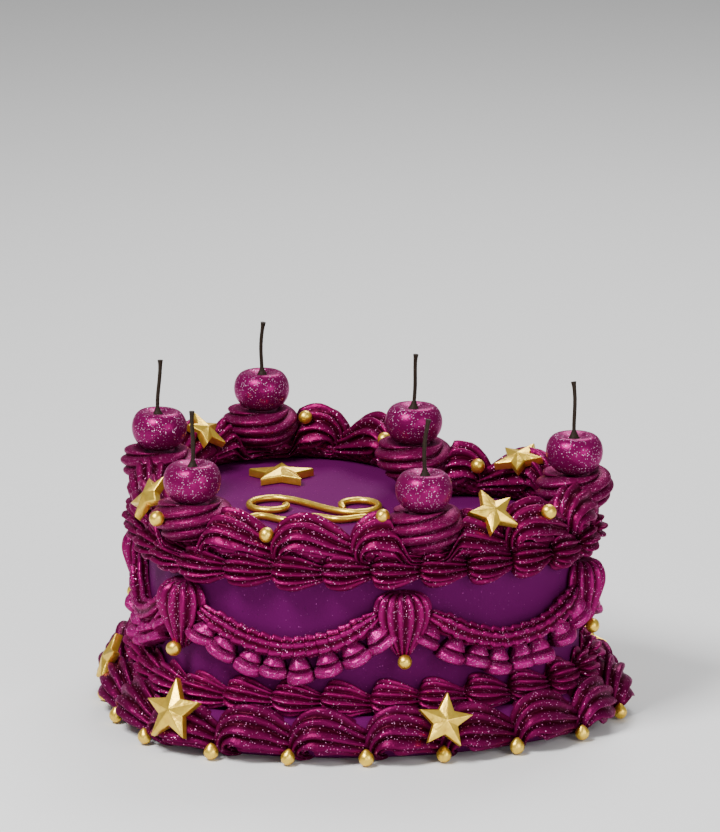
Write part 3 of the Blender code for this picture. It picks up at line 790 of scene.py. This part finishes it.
def pendant(sheets, index):
    """A ridged drop on the wall."""
    way = PENDANT_AT[index]
    track = hang_track(way)
    form = smooth_through(PENDANT_FORM, PENDANT_GRID[0])
    angle = np.radians(np.linspace(-90.0, 90.0, PENDANT_GRID[1]))
    crest = crests(angle - np.radians(10.0), PENDANT_RIDGES)
    ridge = 1.02 - settings().ridge_depth * 0.55 * (1.0 - crest)
    half = 0.5 * PENDANT_WIDE * form[:, 1:2]
    across = half * ridge * np.sin(angle)
    out = 0.4 + form[:, 2:3] * ridge * np.cos(angle)
    z = np.broadcast_to(form[:, 0:1], out.shape) + 1.2 * np.cos(angle) * (form[:, 1:2] - 0.6)
    points = track.place(way + across / track.half, out, z)
    back = track.place(way + half * np.array([[0.6, 0.0, -0.6]]) / track.half, 0.3,
                       np.repeat(form[:, 0:1], 3, axis=1))
    points = np.concatenate([points, back], axis=1)
    # Painted shade: dark values in the valleys and on the three points in the wall.
    tone = np.broadcast_to(np.append(0.1 + 0.9 * crest, [0.0, 0.0, 0.0]), points.shape[:2])
    sheets.grid(waver(points, size=settings().rough * 0.8, scale=0.004, seed=300 + index), tone)


def swag_line(index):
    """Start and end of one swag along the wall."""
    begin = PENDANT_AT[index]
    end = PENDANT_AT[(index + 1) % len(PENDANT_AT)]
    if end <= begin:
        end += 2.0
    trim = 0.5 * PENDANT_WIDE - 1.2
    begin += (CLEFT_TRIM if begin == 1.0 else trim) / WALL.half
    end -= (CLEFT_TRIM if end == 1.0 else trim) / WALL.half
    return begin, end


def swag_at(begin, end, share):
    """Way, height and slope of a swag's rope at a share of its length."""
    way = begin + (end - begin) * share
    z = SWAG_LOW + (SWAG_TOP - SWAG_LOW) * (2.0 * share - 1.0) ** 2
    slope = 4.0 * (2.0 * share - 1.0) * (SWAG_TOP - SWAG_LOW) / ((end - begin) * WALL.half)
    return way, z, slope


def swag(ropes, ruffles, index):
    """A notched rope with a row of ruffled puffs hanging under it."""
    begin, end = swag_line(index)
    share = np.linspace(0.0, 1.0, ROPE_GRID[0])
    way, z, slope = swag_at(begin, end, share)
    angle = round_angles(ROPE_GRID[1])
    length = (end - begin) * WALL.half
    beat = np.mod(share * round(length / ROPE_NOTCH), 1.0)
    notch = 0.84 + 0.26 * np.minimum(1.0, 6.0 * beat) * (1.0 - beat) ** 0.8
    taper = np.minimum(1.0, 0.5 + 5.0 * np.minimum(share, 1.0 - share))
    crest = crests(angle, ROPE_RIDGES)
    radius = ROPE_R * (notch * taper)[:, None] * (1.02 - 0.34 * (1.0 - crest))
    level = np.hypot(1.0, slope)[:, None]
    down = radius * np.cos(angle)
    out = np.maximum(ROPE_OUT + radius * np.sin(angle), 0.25)
    along = way[:, None] + down * slope[:, None] / level / WALL.half
    points = WALL.place(along, out, z[:, None] + 0.6 - down / level)
    # Painted shade: dark values in the valleys and in each notch of the rope.
    tone = crest * np.minimum(1.0, 0.35 + 5.0 * beat)[:, None]
    ropes.grid(waver(points, size=settings().rough, scale=0.003, seed=400 + index), tone)
    count = 8 if length > 50.0 else 7
    rng = np.random.default_rng(500 + index)
    for k in range(count):
        spot = (k + 0.5) / count + rng.normal(0.0, 0.008)
        puff(ruffles, begin, end, spot, count, rng, 600 + index * 10 + k)


def puff(sheets, begin, end, spot, count, rng, seed):
    """One ruffled puff: a narrow fan from the rope, a crease, and a rolled hem."""
    way, z, slope = swag_at(begin, end, spot)
    level = math.hypot(1.0, slope)
    down_s, down_z = slope / level, -1.0 / level
    long = PUFF_LONG * (1.0 - 0.2 * abs(2.0 * spot - 1.0)) * (1.0 + rng.normal(0.0, 0.05))
    pitch = (end - begin) * WALL.half * level / count
    form = smooth_through(PUFF_FORM, PUFF_GRID[0])
    angle = np.radians(np.linspace(-90.0, 90.0, PUFF_GRID[1]))
    side = 0.5 * pitch * form[:, 1:2] * np.sign(np.sin(angle)) * np.abs(np.sin(angle)) ** 0.55
    lean = rng.normal(0.0, 0.16)
    depth = form[:, 2:3] * (0.94 + 0.12 * (seed % 2) + rng.normal(0.0, 0.04))
    fluted = 1.0 - 0.14 * np.abs(np.sin(2.5 * angle + lean))
    out = 0.4 + depth * np.abs(np.cos(angle)) ** 0.5 * fluted
    down = long * (form[:, 0:1] - 0.05 * np.abs(np.sin(angle)) ** 3 * (form[:, 0:1] > 0.7))
    run_s = side / level + down * down_s + lean * form[:, 0:1] * 3.0
    up = z + down * down_z + side * (slope / level + rng.normal(0.0, 0.09))
    points = WALL.place(way + run_s / WALL.half, out, up)
    mid = down[:, PUFF_GRID[1] // 2]
    back = WALL.place(way + mid * down_s / WALL.half, 0.3, z + mid * down_z)
    # Painted shade: dark values in the crease between fan and hem, at the sides of the puff and on
    # the point in the wall.
    crease = np.clip(np.abs(form[:, 0] - 0.6) / 0.07, 0.15, 1.0)[:, None] * (np.cos(angle) > 0.2)
    tone = np.append(crease, np.zeros((len(form), 1)), axis=1)
    points = waver(points, size=0.00025, scale=0.003, seed=seed)
    sheets.grid(np.concatenate([points, back[:, None]], axis=1), tone)


class CAKE_OT_body(bpy.types.Operator):
    """Make the smooth iced heart"""
    bl_idname = "iced_cake.body"
    bl_label = "Cake body"

    def execute(self, context):
        way = np.linspace(0.0, 2.0, BODY_COLUMNS, endpoint=False)
        turn = np.linspace(0.0, 0.5 * np.pi, 7)
        form = [(0.0, 0.0), (0.0, 30.0), (0.0, BODY_H - EDGE - 0.5)]
        form += [(-EDGE * (1.0 - math.cos(a)), BODY_H - EDGE * (1.0 - math.sin(a))) for a in turn]
        form += [(-6.0, BODY_H), (-14.0, BODY_H)]
        sheets = Sheets()
        points = np.array([WALL.place(way, out, z) for out, z in form])
        sheets.grid(waver(points, size=0.00004, scale=0.02, seed=3))
        bed(sheets, middle=5.6, half=5.0, base_z=0.0, tall=15.0, ridges=0)
        settle(sheets.build("smooth_cake", "smooth_icing"), ["cake_body"])
        return {"FINISHED"}


class CAKE_OT_borders(bpy.types.Operator):
    """Pipe the four borders"""
    bl_idname = "iced_cake.borders"
    bl_label = "Piped borders"

    def execute(self, context):
        shell_row("upper_shell_border", UPPER_Z, 0.6, "glitter_piping")
        # The lower shells take the lighter copy of the piping, painted light against the swags'
        # shade.
        shell_row("lower_shell_border", LOWER_Z, 2.0, "lower_piping")
        for name, count, phase, out, knots, base, fit, finish in (
                ("upper_arch_border", TOP_ARCHES, TOP_PHASE, TOP_OUT, TOP_STROKE, BODY_H,
                 under_swirls, "glitter_piping"),
                # The foot arches take the darker copy of the piping, painted shade low on the cake.
                ("foot_arch_border", FOOT_ARCHES, FOOT_PHASE, FOOT_OUT, FOOT_STROKE, 0.0,
                 on_floor, "foot_piping")):
            sheets = Sheets()
            track = Track(out, ARCH_FILLET)
            for k in range(count):
                start = 2.0 * (k + phase) / count
                stroke(sheets, track, start, knots, base, fit, settings().seed + 40 * k)
            if base:
                bed(sheets, middle=-1.4, half=4.2, base_z=base, tall=8.5, ridges=9)
            settle(sheets.build(name + "_piping", finish), [name])
        return {"FINISHED"}


class CAKE_OT_wall(bpy.types.Operator):
    """Pipe the pendants and swags on the wall"""
    bl_idname = "iced_cake.wall"
    bl_label = "Pendants and swags"

    def execute(self, context):
        drops, ropes, ruffles = Sheets(), Sheets(), Sheets()
        for index in range(len(PENDANT_AT)):
            pendant(drops, index)
            swag(ropes, ruffles, index)
        count = len(PENDANT_AT)
        settle(drops.build("pendants", "satin_rope"), numbered("pendant", count))
        settle(ropes.build("swag_ropes", "satin_rope"), numbered("swag", count))
        settle(ruffles.build("swag_ruffles", "satin_ruffle"))
        return {"FINISHED"}


# Cherries


def swirl(sheets, index, way):
    """A mound of icing wound round in slanting ridges, dished under its cherry."""
    mid = WALL.place(way, SWIRL_IN, SWIRL_Z0)
    rng = np.random.default_rng(700 + index)
    form = smooth_through(SWIRL_FORM, SWIRL_GRID[0])
    v, mean = form[:, 0:1], form[:, 1:2]
    turn = np.linspace(0.0, 1.0, SWIRL_GRID[1], endpoint=False)[None, :]
    wind = 2.8 * v - 3.0 * turn + rng.uniform()
    groove = np.abs(np.sin(np.pi * wind)) ** 0.7
    row = np.linspace(0.0, 1.0, len(form))[:, None]
    fade = np.clip(np.minimum(12.0 * row, 6.0 * (0.97 - row)), 0.0, 1.0)
    radius = SWIRL_R * mean * (1.0 + rng.normal(0.0, 0.015)) - (2.3 * (1.0 - groove) - 0.5) * fade
    angle = 2.0 * np.pi * turn
    z = SWIRL_H * v + 0.05 * radius * np.cos(angle - 0.8 * index) * np.minimum(1.0, 2.0 - 1.6 * row)
    z = np.where(row > 0.9, np.minimum(z, SWIRL_H + 0.1), z)
    points = turned(radius, angle, z, mid)
    # Painted shade: dark values in the grooves and in the dish under the cherry.
    tone = np.where(row > 0.94, 0.0, np.clip(groove, 0.0, 1.0))
    sheets.grid(waver(points, size=0.0003, scale=0.006, seed=710 + index), tone)


def cherry(sheets, index, way):
    """A plump cherry, dimpled on top and faintly two-lobed."""
    mid = WALL.place(way, SWIRL_IN, CHERRY_Z0)
    v = np.linspace(0.02, 0.985, CHERRY_GRID[0])[:, None]
    angle = round_angles(CHERRY_GRID[1])
    polar = np.pi * v
    cleft = 0.5 + 0.5 * np.cos(angle - 0.8 * index)
    radius = CHERRY_R * np.sin(polar) ** 0.76 * (1.0 - 0.05 * cleft ** 6)
    radius = radius * (1.0 + 0.03 * (v - 0.5))
    lift = 0.5 - 0.5 * np.cos(polar)
    dimple = 0.2 * np.exp(-((1.0 - v) / 0.14) ** 2)
    z = CHERRY_H * (lift * 1.06 - dimple)
    points = turned(radius, angle, z, mid)
    sheets.grid(waver(points, size=0.0002, scale=0.007, seed=800 + index))


def stem_line(index, way):
    """A thin stem that leans a little, wide at its foot and at its cut end."""
    x, y, z = WALL.place(way, SWIRL_IN, CHERRY_Z0 + CHERRY_H * 0.84) / MM
    lean_x, lean_y = STEM_LEAN[index]
    line = []
    for v in np.linspace(0.0, 1.0, 14):
        wide = 0.7 + 1.4 * max(0.0, 1.0 - 7.5 * v) + 0.3 * max(0.0, (v - 0.9) * 10.0)
        bend = 6.0 * v * v
        kink = 0.22 * math.sin(5.0 * v + 2.0 * index)
        line.append((x + lean_x * bend + kink, y + lean_y * bend + kink, z + STEM_LONG * v, wide))
    return line


class CAKE_OT_cherries(bpy.types.Operator):
    """Make the swirls, the cherries on them and their stems"""
    bl_idname = "iced_cake.cherries"
    bl_label = "Swirls and cherries"

    def execute(self, context):
        mounds, fruit = Sheets(), Sheets()
        for index, way in enumerate(SWIRL_AT):
            swirl(mounds, index, way)
            cherry(fruit, index, way)
        count = len(SWIRL_AT)
        settle(mounds.build("swirls", "satin_swirl"), numbered("swirl", count))
        settle(fruit.build("cherries", "cherry_skin"), numbered("cherry", count))
        stems = [stem_line(index, way) for index, way in enumerate(SWIRL_AT)]
        settle(cords("stems", stems, "dried_stem"), numbered("stem", count))
        return {"FINISHED"}


# Gold decorations


def bead_shape(name, peak):
    """A round bead, with a peak on top where the nozzle left one."""
    v = np.linspace(0.01, 0.99, BEAD_GRID[0])[:, None]
    polar = np.pi * v
    radius = BEAD_R * np.sin(polar) * (1.0 - 0.12 * peak * np.clip(v - 0.5, 0.0, 1.0))
    z = -BEAD_R * np.cos(polar) + peak * np.exp(-((1.0 - v) / 0.16) ** 2)
    sheets = Sheets()
    points = turned(radius, round_angles(BEAD_GRID[1]), z, 0.0)
    sheets.grid(waver(points, size=0.00012, scale=0.002, seed=12))
    return sheets.build(name, "satin_gold")


def view_away():
    """Direction from the cake to the viewer."""
    flat = math.cos(VIEW_EL)
    return Vector((math.sin(VIEW_AZ) * flat, -math.cos(VIEW_AZ) * flat, math.sin(VIEW_EL)))


def rest_on(name, spots):
    """Move spots along the line of sight until a bead sits on the piece, where it is near."""
    away = view_away()
    near = 0.012
    surface = BVHTree.FromObject(bpy.data.objects[name], bpy.context.evaluated_depsgraph_get())
    rested = []
    for spot in spots:
        hit = surface.ray_cast(Vector(spot) + away * near, -away, 2.0 * near)[0]
        rested.append(tuple(hit + away * BEAD_R * BEAD_SEAT * MM) if hit else tuple(spot))
    return rested


def set_beads(name, peak, points):
    """Gold beads at the points, as one piece."""
    mesh = bpy.data.meshes.new(name + "_spots")
    mesh.from_pydata([tuple(point) for point in points], [], [])
    source = add_object(name + "_spots", mesh)
    shape = bead_shape(name + "_shape", peak)
    group = once(bpy.data.node_groups, "Set beads", bead_group)
    beads = grow(source, group, {"Bead": shape, "Material": material("satin_gold")}, name)
    bpy.data.objects.remove(shape, do_unlink=True)
    settle(beads)


def add_star(edit, centre, outward, tilt, spin, size):
    """One star: five points, a raised middle and slanting rims."""
    across = Vector((-outward[1], outward[0], 0.0))
    face = Vector((outward[0] * math.sin(tilt), outward[1] * math.sin(tilt), math.cos(tilt)))
    turn = Matrix((across, face.cross(across), face)).transposed()
    rings = []
    for height, share in STAR_RINGS:
        ring = []
        for k in range(10):
            angle = spin + math.pi * k / 5.0
            reach = (size if k % 2 == 0 else size * STAR_WAIST) * share
            local = Vector((reach * math.cos(angle), reach * math.sin(angle), STAR_THICK * height))
            ring.append(edit.verts.new((turn @ local + centre) * MM))
        rings.append(ring)
    base, side, rim = rings
    top = edit.verts.new((turn @ Vector((0.0, 0.0, STAR_TOP * STAR_THICK)) + centre) * MM)
    edit.faces.new(base)
    for k in range(10):
        n = (k + 1) % 10
        edit.faces.new((base[k], base[n], side[n], side[k]))
        edit.faces.new((side[k], side[n], rim[n], rim[k]))
        edit.faces.new((rim[k], rim[n], top))


def stars_mesh(name, spots):
    """All stars as one mesh with softened edges."""
    edit = bmesh.new()
    for spot in spots:
        add_star(edit, *spot)
    bmesh.ops.recalc_face_normals(edit, faces=edit.faces)
    bmesh.ops.bevel(edit, geom=list(edit.edges), offset=STAR_SOFT * MM, segments=2, profile=0.6,
                    affect="EDGES", clamp_overlap=True)
    mesh = bpy.data.meshes.new(name)
    edit.to_mesh(mesh)
    edit.free()
    mesh.materials.append(material("satin_gold"))
    mesh.shade_smooth()
    mesh.set_sharp_from_angle(angle=math.radians(50.0))
    return mesh


def scroll_line(steps):
    """A long S that ends in a curl at each end."""
    middle = 0.36
    line = []
    for k in range(steps + 1):
        t = 2.0 * k / steps - 1.0
        sign = 1.0 if t >= 0.0 else -1.0
        if abs(t) < middle:
            line.append((CURL_AT * t / middle, -CURL_R * math.sin(0.5 * math.pi * t / middle)))
        else:
            part = (abs(t) - middle) / (1.0 - middle)
            curl = CURL_R * (1.0 - 0.55 * part)
            wind = CURL_TURN * part - 0.5 * math.pi
            line.append((sign * (CURL_AT + curl * math.cos(wind)), sign * curl * math.sin(wind)))
    return line


def wave_line(steps):
    """A wavy underline that grows calm to the right."""
    line = []
    for k in range(steps + 1):
        t = k / steps
        calm = 1.0 - 0.6 * t
        line.append((-WAVE_HALF + 2.0 * WAVE_HALF * t,
                     WAVE_Y + WAVE_TALL * calm * math.sin(2.0 * math.pi * WAVES * t)))
    return line


def on_disc(line):
    """Lay a flat line on the top disc, turned to face the viewer, thin at both ends."""
    cos_t, sin_t = math.cos(VIEW_AZ), math.sin(VIEW_AZ)
    laid = []
    last = len(line) - 1
    for row, (a, b) in enumerate(line):
        thick = FLOURISH_R * min(1.0, 0.6 + 0.1 * min(row, last - row))
        laid.append((FLOURISH_MID[0] + a * cos_t - b * sin_t,
                     FLOURISH_MID[1] + a * sin_t + b * cos_t + SHIFT_Y,
                     BODY_H + 0.2 + thick, thick))
    return laid


class CAKE_OT_gold(bpy.types.Operator):
    """Set the gold stars, beads and flourish"""
    bl_idname = "iced_cake.gold"
    bl_label = "Gold decorations"

    def execute(self, context):
        stars = []
        for way, out, z, tilt, spin, size in STARS:
            centre = Vector(WALL.place(way, out, z) / MM)
            stars.append((centre, WALL.outward(way), math.radians(tilt),
                          math.radians(spin + 90.0), size))
        x, y, size = DISC_STAR
        centre = Vector((x, y + SHIFT_Y, BODY_H + 0.3 + STAR_THICK / 2.0))
        stars.append((centre, (math.sin(VIEW_AZ), -math.cos(VIEW_AZ)), 0.0, math.radians(90.0),
                      size))
        piece = add_object("gold_stars", stars_mesh("gold_stars", stars))
        settle(piece, numbered("star", len(stars)))
        foot = Track(FOOT_OUT, ARCH_FILLET)
        points = [foot.place(2.0 * (k + FOOT_PHASE) / FOOT_ARCHES, *FOOT_BEAD)
                  for k in range(FOOT_ARCHES)]
        set_beads("foot_beads", BEAD_PEAK, points)
        points = rest_on("upper_arch_border_piping", [WALL.place(*spot) for spot in TOP_BEADS])
        points.append(WALL.place(*SWIRL_BEAD))
        points += [hang_track(way).place(way, *PENDANT_BEAD) for way in PENDANT_AT]
        set_beads("round_beads", 0.0, points)
        flourish = cords("gold_flourish", [on_disc(scroll_line(160)), on_disc(wave_line(110))],
                         "satin_gold")
        settle(flourish, ["flourish_scroll", "flourish_wave"])
        return {"FINISHED"}


# Stage


class CAKE_OT_stage(bpy.types.Operator):
    """Set the floor, lights and camera"""
    bl_idname = "iced_cake.stage"
    bl_label = "Stage"

    def execute(self, context):
        scene = context.scene
        mesh = bpy.data.meshes.new("floor")
        mesh.from_pydata([(-6, -6, 0), (6, -6, 0), (6, 6, 0), (-6, 6, 0)], [], [(0, 1, 2, 3)])
        mat, tree, shader = start_material("pale_floor")
        feed(tree, shader, {"Base Color": (0.76, 0.76, 0.76), "Roughness": 0.7})
        mesh.materials.append(mat)
        add_object("floor", mesh)
        world = bpy.data.worlds.new("studio")
        world.use_nodes = True
        feed(world.node_tree, world.node_tree.nodes["Background"],
             {"Color": (1.0, 1.0, 1.0), "Strength": 0.34})
        scene.world = world
        right = Vector((math.cos(VIEW_AZ), math.sin(VIEW_AZ), 0.0))
        toward = Vector((math.sin(VIEW_AZ), -math.cos(VIEW_AZ), 0.0))
        mid = Vector((0.0, 0.0, 0.06))
        for name, side, near, high, size, power in LAMPS:
            data = bpy.data.lights.new(name, "AREA")
            data.size = size
            data.energy = power
            lamp = add_object(name, data)
            lamp.location = mid + right * side + toward * near + Vector((0.0, 0.0, high))
            lamp.rotation_euler = (mid - lamp.location).to_track_quat("-Z", "Y").to_euler()
        data = bpy.data.cameras.new("camera")
        data.lens = VIEW_LENS
        data.clip_end = 20.0
        camera = add_object("camera", data)
        away = view_away()
        camera.location = (Vector(VIEW_AT) + away * VIEW_FAR) * MM
        camera.rotation_euler = (-away).to_track_quat("-Z", "Y").to_euler()
        scene.camera = camera
        return {"FINISHED"}


class CAKE_PT_panel(bpy.types.Panel):
    """The settings and the pieces, in the sidebar"""
    bl_label = "Iced cake"
    bl_idname = "CAKE_PT_panel"
    bl_space_type = "VIEW_3D"
    bl_region_type = "UI"
    bl_category = "Cake"

    def draw(self, context):
        for name in CakeSettings.__annotations__:
            self.layout.prop(context.scene.iced_cake, name)
        for operator in OPERATORS:
            self.layout.operator(operator.bl_idname)


OPERATORS = (CAKE_OT_body, CAKE_OT_borders, CAKE_OT_wall, CAKE_OT_cherries, CAKE_OT_gold,
             CAKE_OT_stage)
CLASSES = (CakeSettings, *OPERATORS, CAKE_PT_panel)


def register():
    for item in CLASSES:
        bpy.utils.register_class(item)
    bpy.types.Scene.iced_cake = bpy.props.PointerProperty(type=CakeSettings)


def unregister():
    del bpy.types.Scene.iced_cake
    for item in reversed(CLASSES):
        bpy.utils.unregister_class(item)


def main():
    register()
    bpy.ops.iced_cake.body()
    bpy.ops.iced_cake.borders()
    bpy.ops.iced_cake.wall()
    bpy.ops.iced_cake.cherries()
    bpy.ops.iced_cake.gold()
    bpy.ops.iced_cake.stage()


if __name__ == "__main__":
    main()
